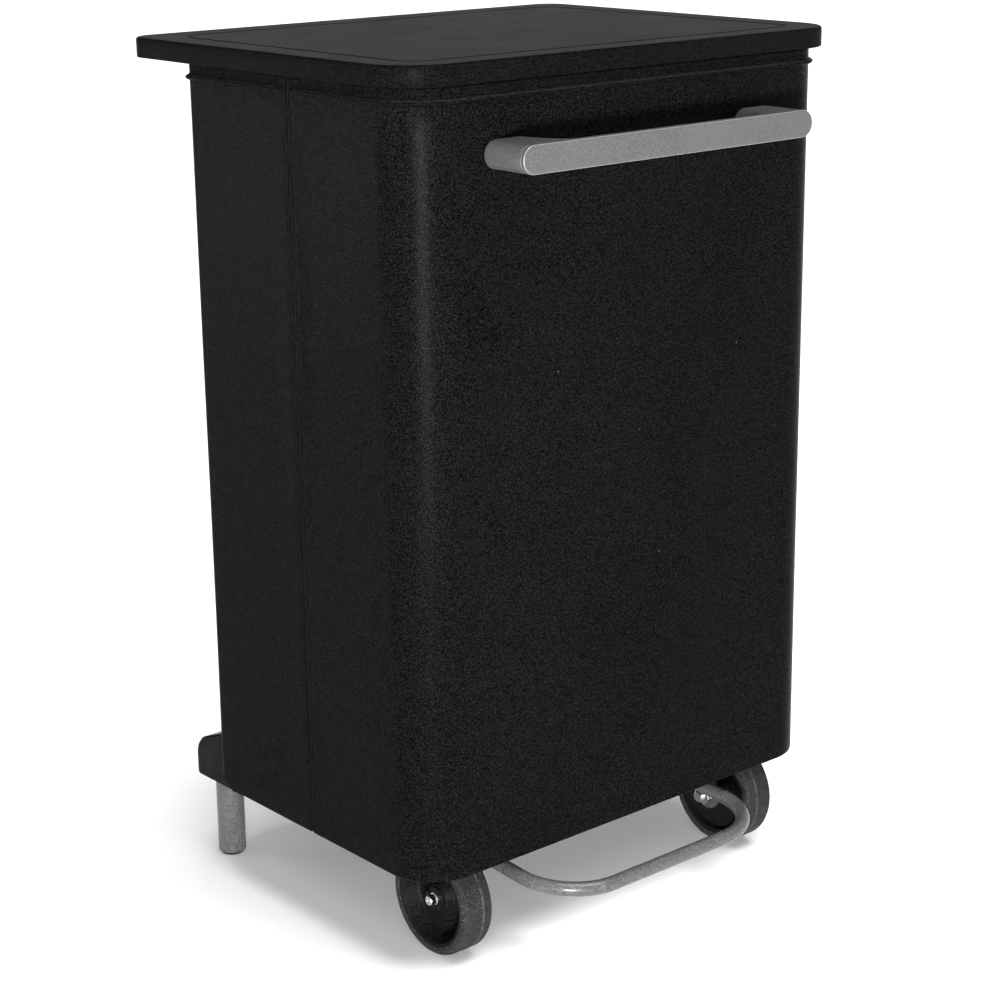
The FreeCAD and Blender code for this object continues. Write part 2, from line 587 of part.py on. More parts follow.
# ---------------------------------------------------------------- push rod column
def make_column():
    channel = block(-COLUMN_HALF, COLUMN_HALF, BACK, COLUMN_BACK, COLUMN_BOTTOM, TOP)
    inner = block(-COLUMN_HALF + SHEET, COLUMN_HALF - SHEET, BACK - 1, COLUMN_BACK - SHEET,
                  COLUMN_BOTTOM - 1, TOP + 1)
    channel = channel.cut(inner)
    notch_half = TUBE_R + 7
    channel = channel.cut(block(-COLUMN_HALF - 1, COLUMN_HALF + 1, ROD_Y - notch_half, ROD_Y + notch_half,
                                COLUMN_BOTTOM - 1, COLUMN_NOTCH_TOP))
    # The back wall stops below the hinge, and the cheeks slope up to it.
    cheek = plate_yz(-COLUMN_HALF - 1, COLUMN_HALF + 1, [(BACK - 1, 796), (184, 796), (192, 810), (208, 810),
                                                        (COLUMN_BACK + 1, 781), (COLUMN_BACK + 1, 820),
                                                        (BACK - 1, 820)])
    channel = channel.cut(cheek)
    flanges = [block(*signed(side, COLUMN_HALF, COLUMN_HALF + 16), BACK, BACK + SHEET, 156, 790)
               for side in SIGNS]
    channel = fuse([channel] + flanges)
    pin_hole = rod(HINGE_R, (-COLUMN_HALF - 1, HINGE_Y, HINGE_Z), (COLUMN_HALF + 1, HINGE_Y, HINGE_Z))
    save("rod_column", channel.cut(pin_hole))
    pin_half = COLUMN_HALF + 3
    save("lid_hinge_pin", rod(HINGE_R, (-pin_half, HINGE_Y, HINGE_Z), (pin_half, HINGE_Y, HINGE_Z)))
    bridges = []
    bushes = []
    inside = COLUMN_HALF - SHEET
    y0, y1 = ROD_Y - 14, ROD_Y + 14

    def at(z):
        return (0, ROD_Y, z)

    for z in GUIDES_Z:
        bridge = [block(-inside, inside, y0, y1, z, z + 2)]
        bridge += [block(*signed(side, inside - 2, inside), y0, y1, z, z + 16) for side in SIGNS]
        bridges.append(fuse(bridge).cut(rod(8, at(z - 1), at(z + 3))))
        bush = fuse([rod(8, at(z - 4), at(z + 6)), rod(12, at(z + 2), at(z + 5))])
        bushes.append(bush.cut(rod(ROD_R + CLEAR, at(z - 5), at(z + 7))))
    save("guide_bridges", Part.makeCompound(bridges))
    save("guide_bushes", Part.makeCompound(bushes))


def make_push_rod():
    bar_top = PIVOT_Z + REAR_REACH * math.sin(SLOPE) + TUBE_R
    foot = bar_top + FOOT_GAP
    roller_z = HINGE_Z - LEVER * math.sin(math.radians(LEVER_ANGLE))
    head = roller_z - ROLLER_R - ROLLER_GAP
    save("push_rod", rod(ROD_R, (0, ROD_Y, foot + 5), (0, ROD_Y, head - 5)))
    foot_cap = rod(12, (0, ROD_Y, foot), (0, ROD_Y, foot + 5))
    save("rod_foot", fuse([foot_cap, tube(8, ROD_R, (0, ROD_Y, foot + 5), (0, ROD_Y, foot + 15))]))
    head_cap = rod(8.3, (0, ROD_Y, head - 5), (0, ROD_Y, head))
    save("rod_head", fuse([head_cap, tube(8, ROD_R, (0, ROD_Y, head - 15), (0, ROD_Y, head - 5))]))


# ---------------------------------------------------------------- lid
def lid_slab(inset, z0, z1):
    return slab(LID_HALF_WIDTH - inset, LID_FRONT + inset, LID_BACK - inset,
                LID_FRONT_CORNER - inset, LID_BACK_CORNER - inset, z0, z1)


def make_lid():
    shell = lid_slab(0, LID_BOTTOM, LID_TOP)
    shell = rounded(shell, LID_EDGE_ROUND, lambda c: abs(c.z - LID_TOP) < 0.05)
    shell = shell.cut(lid_slab(LID_WALL, LID_BOTTOM - 1, LID_TOP - LID_WALL))
    # Shallow recess in the top, inside a plain border.
    recess = slab(LID_HALF_WIDTH - 45, LID_FRONT + 20, LID_BACK - 42, 22, 22, LID_TOP - 0.8, LID_TOP + 1)
    save("lid_shell", shell.cut(recess))
    panel_z = LID_BOTTOM + 2
    save("lid_inner_panel", lid_slab(LID_WALL, panel_z, panel_z + 2))

    base_y = (HINGE_Y - 14, HINGE_Y + 22)
    base = block(-96, 96, base_y[0], base_y[1], LID_BOTTOM - 0.5, panel_z)
    arms = []
    for side in SIGNS:
        x0, x1 = signed(side, 88, 91)
        arms.append(link_plate(x0, x1, HINGE_Y, HINGE_Z, 9, HINGE_Y, LID_BOTTOM - 3, 9.01))
        arms.append(block(x0, x1, HINGE_Y - 9, HINGE_Y + 9, LID_BOTTOM - 3, LID_BOTTOM))
    bore = rod(HINGE_R + CLEAR, (-120, HINGE_Y, HINGE_Z), (120, HINGE_Y, HINGE_Z))
    trim = block(-120, 120, 150, 250, panel_z, panel_z + 40)
    save("lid_hinge_bracket", fuse([base] + arms).cut(bore).cut(trim))

    angle = math.radians(LEVER_ANGLE)
    roller_y = HINGE_Y - LEVER * math.cos(angle)
    roller_z = HINGE_Z - LEVER * math.sin(angle)
    plates = []
    for side in SIGNS:
        x0, x1 = signed(side, 9, 12)
        arm = link_plate(x0, x1, HINGE_Y, HINGE_Z, 8, roller_y, roller_z, 5.5)
        riser = block(x0, x1, HINGE_Y - 8, HINGE_Y + 8, HINGE_Z, LID_BOTTOM - 0.5)
        hole = rod(2.5, (x0 - 1, roller_y, roller_z), (x1 + 1, roller_y, roller_z))
        plates.append(fuse([arm, riser]).cut(bore).cut(hole))
    save("lid_lever_plates", Part.makeCompound(plates))
    roller = rod(ROLLER_R, (-8.5, roller_y, roller_z), (8.5, roller_y, roller_z))
    roller_hole = rod(2.5, (-9, roller_y, roller_z), (9, roller_y, roller_z))
    save("lid_roller", roller.cut(roller_hole))
    save("lid_roller_pin", rod(2.5, (-13.5, roller_y, roller_z), (13.5, roller_y, roller_z)))

    buffers = [rod(5, (side * (HALF_WIDTH - 6), y, TOP + 0.02), (side * (HALF_WIDTH - 6), y, panel_z))
               for side in SIGNS for y in (20, 130)]
    save("lid_buffers", Part.makeCompound(buffers))
    screws = [rod(3.5, (x, y, LID_BOTTOM - 2.3), (x, y, LID_BOTTOM - 0.5))
              for x in (-70, -35, 35, 70) for y in (HINGE_Y - 8, HINGE_Y + 6)]
    save("lid_bracket_screws", Part.makeCompound(screws))


# ---------------------------------------------------------------- bag hoop
def make_bag_hoop():
    path = outline(HOOP_HALF, HOOP_FRONT, HOOP_BACK, HOOP_CORNER, HOOP_CORNER, HOOP_Z)
    profile = Part.Wire(Part.makeCircle(HOOP_R, Vector(HOOP_HALF, 0, HOOP_Z), Vector(0, 1, 0)))
    save("bag_hoop", path.makePipeShell([profile], True, True))
    brackets = []
    for x in (-150, 150):
        saddle = tube(HOOP_R + 2, HOOP_R, (x - 12, HOOP_BACK, HOOP_Z), (x + 12, HOOP_BACK, HOOP_Z))
        arm = block(x - 12, x + 12, HOOP_BACK + HOOP_R + 0.5, BACK - SHEET, HOOP_Z - 1.5, HOOP_Z + 1.5)
        pad = block(x - 12, x + 12, BACK - SHEET - 2, BACK - SHEET, HOOP_Z - 26, HOOP_Z + 1.5)
        brackets.append(fuse([saddle, arm, pad]))
    save("hoop_brackets", Part.makeCompound(brackets))
    outer = slab(HOOP_HALF + HOOP_R + 2, HOOP_FRONT - HOOP_R - 2, HOOP_BACK + HOOP_R + 2,
                 HOOP_CORNER + HOOP_R + 2, HOOP_CORNER + HOOP_R + 2, HOOP_Z - 18, HOOP_Z - 7)
    inner = slab(HOOP_HALF + HOOP_R, HOOP_FRONT - HOOP_R, HOOP_BACK + HOOP_R,
                 HOOP_CORNER + HOOP_R, HOOP_CORNER + HOOP_R, HOOP_Z - 19, HOOP_Z - 6)
    save("bag_band", outer.cut(inner))


# ---------------------------------------------------------------- rivets and bolts
def make_fasteners(tray_rivets):
    rivets = list(tray_rivets)
    for side in SIGNS:
        for z in (200, 340, 480, 620, 760):
            x = side * (COLUMN_HALF + 9)
            rivets.append(rod(4, (x, BACK + SHEET, z), (x, BACK + SHEET + 1.3, z)))
    # Nuts on studs welded under the tray, so that its top stays smooth.
    bolts = []
    neck_y = WHEEL_Y + BRACKET_RAKE
    for side in SIGNS:
        wheel_x = side * (WHEEL_INNER - 30)
        pedal_x = side * (PEDAL_HALF + TUBE_R + 22)
        for x, y, flats in ((wheel_x, neck_y - 14, 10), (wheel_x, neck_y + 14, 10),
                            (pedal_x, PIVOT_Y - 11, 8), (pedal_x, PIVOT_Y + 11, 8)):
            under = TRAY_Z - PLATE
            bolts.append(fuse([hexagon(flats, (x, y, under - 4), (x, y, under)),
                               rod(flats / 4, (x, y, under - 6), (x, y, under - 4))]))
    save("tray_bolts", Part.makeCompound(bolts))
    door_rivets = []
    for z0 in DOOR_HINGES_Z:
        for z in (z0 + 10, z0 + 50):
            out = HALF_WIDTH + SHEET
            rivets.append(rod(3, (out, SEAM_Y + 22, z), (out + 1.2, SEAM_Y + 22, z)))
            door_rivets.append(rod(3, (out, SEAM_Y - 22, z), (out + 1.2, SEAM_Y - 22, z)))
    save("shell_rivets", Part.makeCompound(rivets))
    save("door_rivets", Part.makeCompound(door_rivets))


make_shells()
make_handle()
make_door_hinges()
make_catches()
tray_rivets = make_tray()
make_axles()
for name, side in SIDES:
    make_wheel(name, side)
make_pedal()
make_pedal_pivot()
make_linkage_box()
make_column()
make_push_rod()
make_lid()
make_bag_hoop()
make_fasteners(tray_rivets)
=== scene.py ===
import json
import math

import bmesh
import bpy
from mathutils import Matrix, Vector


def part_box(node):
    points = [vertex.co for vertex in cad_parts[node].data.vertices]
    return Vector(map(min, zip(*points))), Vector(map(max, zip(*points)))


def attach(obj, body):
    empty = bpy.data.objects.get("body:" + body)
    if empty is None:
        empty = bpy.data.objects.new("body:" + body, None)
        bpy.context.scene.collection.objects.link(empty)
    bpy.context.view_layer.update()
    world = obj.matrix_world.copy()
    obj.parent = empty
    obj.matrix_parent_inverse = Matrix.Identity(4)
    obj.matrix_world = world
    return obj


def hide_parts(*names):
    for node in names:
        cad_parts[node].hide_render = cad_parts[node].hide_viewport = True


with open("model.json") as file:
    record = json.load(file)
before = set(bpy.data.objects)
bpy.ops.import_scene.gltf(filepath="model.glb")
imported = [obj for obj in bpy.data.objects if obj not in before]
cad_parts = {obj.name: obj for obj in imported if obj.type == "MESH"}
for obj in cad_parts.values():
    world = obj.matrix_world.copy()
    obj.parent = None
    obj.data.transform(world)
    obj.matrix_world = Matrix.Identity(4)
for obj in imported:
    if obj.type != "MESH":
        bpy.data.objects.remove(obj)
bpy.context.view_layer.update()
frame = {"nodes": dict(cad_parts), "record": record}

# Linen trolley. Lengths are millimetres in the row frame until a mesh is made; textures, camera, floor and
# lights are in metres.
MM = 0.001
SIGNS = (-1, 1)
scene = bpy.context.scene


# ---------------------------------------------------------------- camera
def make_camera():
    data = bpy.data.cameras.new("camera")
    data.lens = 83.1
    data.clip_start, data.clip_end = 0.05, 100
    camera = bpy.data.objects.new("camera", data)
    right = Vector((0.75813, -0.65201, -0.01092))
    up = Vector((0.19311, 0.20848, 0.95877))
    back = right.cross(up).normalized()
    eye = Vector((-1.42565, -1.65258, 1.02473))
    camera.matrix_world = Matrix([(right[k], up[k], back[k], eye[k]) for k in range(3)] + [(0, 0, 0, 1)])
    scene.collection.objects.link(camera)
    scene.camera = camera


make_camera()


# ---------------------------------------------------------------- sizes read from the frame
def corners(node):
    low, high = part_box(node)
    return low / MM, high / MM


DOOR_LOW, DOOR_HIGH = corners("door_shell")
REAR_LOW, REAR_HIGH = corners("rear_shell")
LID_LOW, LID_HIGH = corners("lid_shell")
COVER_LOW, COVER_HIGH = corners("handle_cover")
GRIP_LOW, GRIP_HIGH = corners("handle_grip")
BOX_LOW, BOX_HIGH = corners("linkage_box")
CAP_OUT = abs(corners("box_end_cap_left")[0].x)
COLUMN_HALF = 100.0               # the push rod's column stands through the linkage box's roof
COLUMN_BACK = corners("rod_column")[1].y
BOW_LOW, BOW_HIGH = corners("pedal_bow")
PIVOT_LOW, PIVOT_HIGH = corners("pedal_pivot_rod")
REAR_BAR_LOW, REAR_BAR_HIGH = corners("pedal_rear_bar")

BEAD_OUT = 4.0                    # pressed bead, how far it stands out
BEAD_INSIDE = 2.2                 # the same, on the sheet's inner face
BEAD_Z = 800.0
HALF = DOOR_HIGH.x - BEAD_OUT     # cabinet wall, outer face
FRONT = DOOR_LOW.y + BEAD_OUT
BACK = REAR_HIGH.y - BEAD_OUT
BOTTOM, TOP = DOOR_LOW.z, DOOR_HIGH.z
FRONT_CORNER, BACK_CORNER = 50.0, 12.0
SHEET = 1.5                       # the cabinet's wall
LIP = 10.0                        # folded in at the top and bottom edges
FLANGE = 9.0                      # folded in at the seam between door and rear shell
FOLD = 1.7                        # outer radius of the folds to the lips
SEAM_Y = (DOOR_HIGH.y + REAR_LOW.y) / 2
TUBE_R = 7.0
WHEEL_INNER, WHEEL_OUTER = (abs(corners("tyre_right")[side].x) for side in (0, 1))
TREAD_LINE = WHEEL_OUTER - 0.64 * (WHEEL_OUTER - WHEEL_INNER)   # moulding line round the tread


# ---------------------------------------------------------------- materials
GRAIN = 900        # per metre: the fine grain of mouldings, about a millimetre apart
COAT_GRAIN = 980   # the finer grain of the powder coat


def grey(level):
    return (level, level, level)


class Look:
    """A material being built: its shader, and short ways to add texture nodes in object space."""

    def __init__(self, name, color, roughness, **sockets):
        self.material = bpy.data.materials.new(name)
        self.material.use_nodes = True
        self.tree = self.material.node_tree
        self.shader = self.tree.nodes["Principled BSDF"]
        self.place = self.node("ShaderNodeTexCoord").outputs["Object"]
        self.shader.inputs["Base Color"].default_value = (*color, 1)
        self.shader.inputs["Roughness"].default_value = roughness
        for key, value in sockets.items():
            self.shader.inputs[key.replace("_", " ")].default_value = value

    def node(self, kind, **values):
        node = self.tree.nodes.new(kind)
        for key, value in values.items():
            setattr(node, key, value)
        return node

    def put(self, socket, value):
        """Link a socket to a node's output, or set it to a plain value."""
        if isinstance(value, bpy.types.NodeSocket):
            self.tree.links.new(value, socket)
        else:
            socket.default_value = value

    def space(self, stretch):
        """Object space, scaled along each axis, then turned so that no flat face runs along the noise."""
        node = self.node("ShaderNodeMapping")
        self.put(node.inputs["Vector"], self.place)
        node.inputs["Scale"].default_value = stretch
        node.inputs["Rotation"].default_value = (0.62, 0.47, 0.35)
        return node.outputs["Vector"]

    def noise(self, per_metre, detail=2.0, stretch=(1, 1, 1), distortion=0.0):
        """Cloudy noise from 0 to 1, with so many cells to the metre."""
        node = self.node("ShaderNodeTexNoise")
        self.put(node.inputs["Vector"], self.space(stretch))
        node.inputs["Scale"].default_value = per_metre
        node.inputs["Detail"].default_value = detail
        node.inputs["Distortion"].default_value = distortion
        return node.outputs["Fac"]

    def remap(self, value, low, high, to_low, to_high):
        node = self.node("ShaderNodeMapRange")
        for name, number in (("From Min", low), ("From Max", high), ("To Min", to_low), ("To Max", to_high)):
            node.inputs[name].default_value = number
        self.put(node.inputs["Value"], value)
        return node.outputs["Result"]

    def maths(self, operation, a, b=0.0):
        node = self.node("ShaderNodeMath", operation=operation)
        self.put(node.inputs[0], a)
        self.put(node.inputs[1], b)
        return node.outputs[0]

    def along(self, axis):
        """Place along one axis of the row frame, in metres."""
        axes = self.node("ShaderNodeSeparateXYZ")
        self.put(axes.inputs[0], self.place)
        return axes.outputs[axis]

    def away(self, value, place):
        """Distance of a value in metres from a place in millimetres."""
        return self.maths("ABSOLUTE", self.maths("SUBTRACT", value, place * MM))

    def specks(self, per_metre, size, share):
        """Round specks: 1 inside a share of the cells of a Voronoi pattern, 0 outside."""
        node = self.node("ShaderNodeTexVoronoi")
        self.put(node.inputs["Vector"], self.place)
        node.inputs["Scale"].default_value = per_metre
        chosen = self.node("ShaderNodeSeparateColor")
        self.put(chosen.inputs[0], node.outputs["Color"])
        picked = self.maths("LESS_THAN", chosen.outputs[0], share)
        round_spot = self.remap(node.outputs["Distance"], size * 0.6, size, 1.0, 0.0)
        return self.maths("MULTIPLY", picked, round_spot)

    def tint(self, fac, color):
        """Mix a colour, or a grey given as one number, over the base colour by fac."""
        if isinstance(color, float):
            color = grey(color)
        node = self.node("ShaderNodeMix", data_type="RGBA")
        base = self.shader.inputs["Base Color"]
        under = base.links[0].from_socket if base.links else tuple(base.default_value)
        self.put(node.inputs[0], fac)
        self.put(node.inputs[6], under)
        node.inputs[7].default_value = (*color, 1)
        self.put(base, node.outputs[2])

    def rough(self, noise, smoothest, roughest):
        """Let the roughness follow a noise between two limits."""
        self.put(self.shader.inputs["Roughness"], self.remap(noise, 0.3, 0.7, smoothest, roughest))

    def bump(self, height, depth):
        """Bumps of a depth in millimetres, on top of those already there."""
        node = self.node("ShaderNodeBump")
        normal = self.shader.inputs["Normal"]
        if normal.links:
            self.put(node.inputs["Normal"], normal.links[0].from_socket)
        self.put(node.inputs["Height"], height)
        node.inputs["Strength"].default_value = 1.0
        node.inputs["Distance"].default_value = depth * MM
        self.put(normal, node.outputs["Normal"])


def powder_coat():
    """Black fine-texture powder coat: a fine grit, sparse pale specks painted as glints and dust, and a
    painted highlight along the bead.
    """
    look = Look("black_powder_coat", grey(0.0006), 0.29, Specular_IOR_Level=0.0074)
    look.tint(look.remap(look.noise(9, 3), 0.35, 0.7, 0.0, 0.5), 0.0010)
    look.tint(look.remap(look.noise(COAT_GRAIN, 1.0), 0.49, 0.62, 0.0, 1.0), 0.0088)
    # Sparse pale specks: painted glints of the coat, and dust.
    look.tint(look.specks(150, 0.10, 0.006), 0.12)
    look.rough(look.noise(500, 2), 0.24, 0.33)
    look.bump(look.noise(COAT_GRAIN, 2.0), 0.17)
    look.bump(look.noise(600, 1), 0.05)
    # A highlight is painted along the bead's upper flank as a lighter, patchy tint, except near the seam.
    flank = BEAD_Z + 2.0
    on_flank = look.remap(look.away(look.along(2), flank), 0.0005, 0.0011, 1.0, 0.0)
    painted_highlight = look.maths("MULTIPLY", on_flank, look.remap(look.noise(800, 1), 0.42, 0.58, 0.1, 1.0))
    off_seam = look.remap(look.away(look.along(1), SEAM_Y), 0.010, 0.014, 0.0, 1.0)
    look.tint(look.maths("MULTIPLY", painted_highlight, off_seam), 0.022)
    return look.material


def lid_plastic():
    """Satin black moulding with a leather-fine grain and faint wiping marks."""
    look = Look("black_lid", grey(0.0012), 0.36, Specular_IOR_Level=0.0050)
    look.tint(look.remap(look.noise(6, 4), 0.35, 0.7, 0.0, 0.7), 0.0028)
    look.tint(look.remap(look.noise(GRAIN, 1), 0.46, 0.64, 0.0, 0.9), 0.0070)
    wiped = look.noise(14, 3, stretch=(1, 2.5, 1), distortion=0.4)
    look.rough(wiped, 0.34, 0.38)
    look.bump(look.noise(COAT_GRAIN, 2), 0.13)
    look.tint(look.specks(90, 0.05, 0.06), 0.06)
    return look.material


def grey_moulding():
    """Mid-grey moulded nylon with a fine spark-eroded grain."""
    look = Look("grey_moulding", grey(0.035), 0.46, Specular_IOR_Level=0.36)
    look.tint(look.remap(look.noise(14, 3), 0.35, 0.7, 0.0, 0.5), 0.058)
    look.tint(look.remap(look.noise(GRAIN, 1), 0.42, 0.64, 0.0, 0.8), 0.078)
    look.rough(look.noise(60, 3), 0.36, 0.48)
    look.bump(look.noise(GRAIN, 2), 0.05)
    return look.material


def worn_rim_and_highlight():
    """The grey moulding where it is polished smooth and glossy, in a lighter colour that is a painted
    highlight along the edge.
    """
    look = Look("grey_moulding_rubbed", grey(0.15), 0.26, Specular_IOR_Level=0.5)
    look.tint(look.remap(look.noise(GRAIN, 1), 0.40, 0.66, 0.0, 0.9), 0.08)
    return look.material


def grey_paint():
    """Grey epoxy powder coat on tube, with small scuffs."""
    look = Look("grey_paint", grey(0.031), 0.30, Specular_IOR_Level=0.28)
    look.tint(look.remap(look.noise(22, 4), 0.35, 0.7, 0.0, 0.4), 0.040)
    look.tint(look.remap(look.noise(GRAIN, 1), 0.42, 0.62, 0.0, 0.9), 0.094)
    look.tint(look.remap(look.noise(260, 4), 0.66, 0.74, 0.0, 0.3), 0.14)
    look.rough(look.noise(45, 3), 0.24, 0.36)
    look.bump(look.noise(GRAIN, 2), 0.04)
    return look.material


def zinc_plate():
    """Dull passivated zinc: soft grey clouds and a drawn grain."""
    look = Look("zinc", (0.085, 0.085, 0.087), 0.42, Metallic=0.9)
    look.tint(look.remap(look.noise(30, 5), 0.35, 0.7, 0.0, 0.8), (0.13, 0.13, 0.132))
    look.tint(look.remap(look.noise(9, 2), 0.5, 0.8, 0.0, 0.5), 0.055)
    look.tint(look.remap(look.noise(GRAIN, 1), 0.45, 0.62, 0.0, 0.8), 0.19)
    look.rough(look.noise(160, 4, stretch=(1, 0.1, 1)), 0.33, 0.52)
    look.bump(look.noise(500, 2, stretch=(1, 0.15, 1)), 0.02)
    return look.material


def bright_steel():
    """Bright zinc on turned steel."""
    look = Look("bright_steel", grey(0.42), 0.24, Metallic=1.0)
    look.tint(look.remap(look.noise(120, 3), 0.4, 0.7, 0.0, 0.7), (0.46, 0.46, 0.47))
    look.rough(look.noise(260, 3), 0.18, 0.34)
    look.bump(look.noise(900, 1), 0.01)
    return look.material


def tyre_rubber():
    """Matt solid rubber with floor dust caught in its surface."""
    look = Look("tyre_rubber", grey(0.0035), 0.74, Specular_IOR_Level=0.15)
    look.tint(look.remap(look.noise(60, 4), 0.40, 0.72, 0.0, 0.8), 0.008)
    look.tint(look.remap(look.noise(GRAIN, 1.5), 0.46, 0.62, 0.0, 0.9), 0.026)
    look.tint(look.specks(420, 0.26, 0.06), 0.10)
    # The moulding line round the tread is lighter, in patches.
    from_line = look.away(look.maths("ABSOLUTE", look.along(0)), TREAD_LINE)
    on_line = look.remap(from_line, 0.0006, 0.0014, 0.75, 0.0)
    patchy = look.remap(look.noise(170, 2), 0.35, 0.6, 0.25, 1.0)
    look.tint(look.maths("MULTIPLY", on_line, patchy), 0.055)
    look.rough(look.noise(90, 3), 0.68, 0.88)
    look.bump(look.noise(420, 3), 0.16)
    return look.material


def soft_rubber():
    """Soft black rubber with a faint bloom."""
    look = Look("black_rubber", grey(0.008), 0.66, Specular_IOR_Level=0.2)
    look.tint(look.remap(look.noise(80, 4), 0.45, 0.75, 0.0, 0.6), 0.020)
    look.rough(look.noise(60, 2), 0.58, 0.74)
    look.bump(look.noise(700, 2), 0.05)
    return look.material


def black_moulding():
    """Black moulded nylon, fine grained."""
    look = Look("black_moulding", grey(0.0012), 0.42, Specular_IOR_Level=0.03)
    look.tint(look.remap(look.noise(45, 4), 0.4, 0.72, 0.0, 0.6), 0.0030)
    look.tint(look.remap(look.noise(GRAIN, 1), 0.44, 0.62, 0.0, 1.0), 0.0095)
    look.rough(look.noise(70, 3), 0.42, 0.60)
    look.bump(look.noise(800, 2), 0.05)
    return look.material


def white_nylon():
    """Natural nylon, slightly cloudy."""
    look = Look("white_nylon", (0.60, 0.59, 0.56), 0.40, Subsurface_Weight=0.15)
    look.tint(look.remap(look.noise(60, 3), 0.4, 0.7, 0.0, 0.5), (0.68, 0.67, 0.64))
    look.rough(look.noise(80, 3), 0.34, 0.48)
    look.bump(look.noise(600, 2), 0.03)
    return look.material


MATERIALS = {
    "black_powder_coat": powder_coat(), "black_lid": lid_plastic(), "grey_moulding": grey_moulding(),
    "grey_paint": grey_paint(), "zinc": zinc_plate(), "bright_steel": bright_steel(),
    "tyre_rubber": tyre_rubber(), "black_rubber": soft_rubber(), "black_moulding": black_moulding(),
    "white_nylon": white_nylon(),
}


# ---------------------------------------------------------------- mesh helpers
MERGE = 0.005                     # points nearer than this are one
BEVEL_ANGLE = math.radians(40)    # flatter edges get no bevel


def grid(rings, closed_ring=False, closed_stack=False):
    """Vertices and quads of a stack of rings with equal point counts."""
    count, levels = len(rings[0]), len(rings)
    verts = [point for ring in rings for point in ring]
    faces = []
    for i in range(levels if closed_stack else levels - 1):
        for j in range(count if closed_ring else count - 1):
            k, above = (j + 1) % count, (i + 1) % levels
            faces.append((i * count + j, i * count + k, above * count + k, above * count + j))
    return verts, faces


def capped(rings):
    """A closed stack of closed rings, with a flat face on each end."""
    verts, faces = grid(rings, closed_ring=True)
    count = len(rings[0])
    faces.append(tuple(reversed(range(count))))
    faces.append(tuple(range(len(verts) - count, len(verts))))
    return verts, faces


def joined(parts):
    """Several (verts, faces) pairs as one."""
    verts, faces = [], []
    for some_verts, some_faces in parts:
        shift = len(verts)
        verts += list(some_verts)
        faces += [tuple(index + shift for index in face) for face in some_faces]
    return verts, faces


def mesh_work(shape):
    """A bmesh from (verts, faces) in millimetres."""
    verts, faces = shape
    work = bmesh.new()
    made = [work.verts.new(Vector(vert) * MM) for vert in verts]
    for face in faces:
        work.faces.new([made[index] for index in face])
    return work


def linked_object(work, name):
    """Put a bmesh into the scene as an object."""
    mesh = bpy.data.meshes.new(name)
    work.to_mesh(mesh)
    work.free()
    obj = bpy.data.objects.new(name, mesh)
    scene.collection.objects.link(obj)
    return obj


def apply_modifiers(obj):
    """Replace the object's mesh with what its modifiers make of it."""
    made = bpy.data.meshes.new_from_object(obj.evaluated_get(bpy.context.evaluated_depsgraph_get()))
    obj.modifiers.clear()
    old, obj.data = obj.data, made
    name = old.name
    bpy.data.meshes.remove(old)
    made.name = name


def cut_away(obj, x0, x1, outline):
    """Remove a prism from a closed piece: a (y, z) outline between two x."""
    work = mesh_work(capped([[(x, y, z) for y, z in outline] for x in (x0, x1)]))
    bmesh.ops.recalc_face_normals(work, faces=work.faces)
    cutter = linked_object(work, "cutter")
    cut = obj.modifiers.new("cut", "BOOLEAN")
    cut.operation, cut.solver, cut.object = "DIFFERENCE", "EXACT", cutter
    apply_modifiers(obj)
    bpy.data.objects.remove(cutter)


def piece(name, shape, body, slot, nodes=(), wall=0.0, bevels=(), sharp=35.0, cuts=()):
    """Make one piece of the visual model from (verts, faces) in millimetres.

    wall thickens an open sheet inwards; bevels is a list of (width, segments, pick) for its edges;
    cuts is a list of prisms for cut_away.
    """
    work = mesh_work(shape)
    bmesh.ops.remove_doubles(work, verts=work.verts, dist=MERGE * MM)
    if not wall:
        bmesh.ops.recalc_face_normals(work, faces=work.faces)
    for width, segments, pick in bevels:
        edges = [edge for edge in work.edges if len(edge.link_faces) == 2
                 and edge.calc_face_angle(0) > BEVEL_ANGLE
                 and pick((edge.verts[0].co + edge.verts[1].co) / (2 * MM))]
        bmesh.ops.bevel(work, geom=edges, offset=width * MM, segments=segments, profile=0.5,
                        affect="EDGES", clamp_overlap=True)
    obj = linked_object(work, name)
    if wall:
        thick = obj.modifiers.new("wall", "SOLIDIFY")
        thick.thickness, thick.offset, thick.use_even_offset = wall * MM, -1, True
        apply_modifiers(obj)
    for prism in cuts:
        cut_away(obj, *prism)
    obj.data.shade_smooth()
    obj.data.set_sharp_from_angle(angle=math.radians(sharp))
    obj.data.materials.append(MATERIALS[slot])
    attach(obj, body)
    if nodes:
        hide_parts(*nodes)
    return obj


def arc(cx, cy, radius, start, turn, steps):
    """Points round an arc with their outward directions: (x, y, direction x, direction y)."""
    for k in range(steps + 1):
        angle = math.radians(start + turn * k / steps)
        yield (cx + radius * math.cos(angle), cy + radius * math.sin(angle), math.cos(angle), math.sin(angle))


def straight(start, end, step):
    """Points strictly between start and end, about step apart."""
    count = max(1, round(math.dist(start, end) / step))
    return [tuple(a + (b - a) * k / count for a, b in zip(start, end)) for k in range(1, count)]


def rounded_ring(half, y0, y1, r0, r1, steps=10):
    """Closed outline in plan, front corners r0 and back corners r1, counter-clockwise."""
    ring = []
    for cx, cy, radius, start in ((half - r0, y0 + r0, r0, 270), (half - r1, y1 - r1, r1, 0),
                                  (r1 - half, y1 - r1, r1, 90), (r0 - half, y0 + r0, r0, 180)):
        ring += [(x, y) for x, y, _, _ in arc(cx, cy, radius, start, 90, steps)]
    return ring


def lathe(profile, centre, side, steps=96):
    """Turn a closed (distance, radius) profile about an axle along X; side says which way is out."""
    rings = []
    for k in range(steps):
        angle = 2 * math.pi * k / steps
        rings.append([(side * x, centre[0] + r * math.cos(angle), centre[1] + r * math.sin(angle))
                      for x, r in profile])
    return grid(rings, closed_ring=True, closed_stack=True)


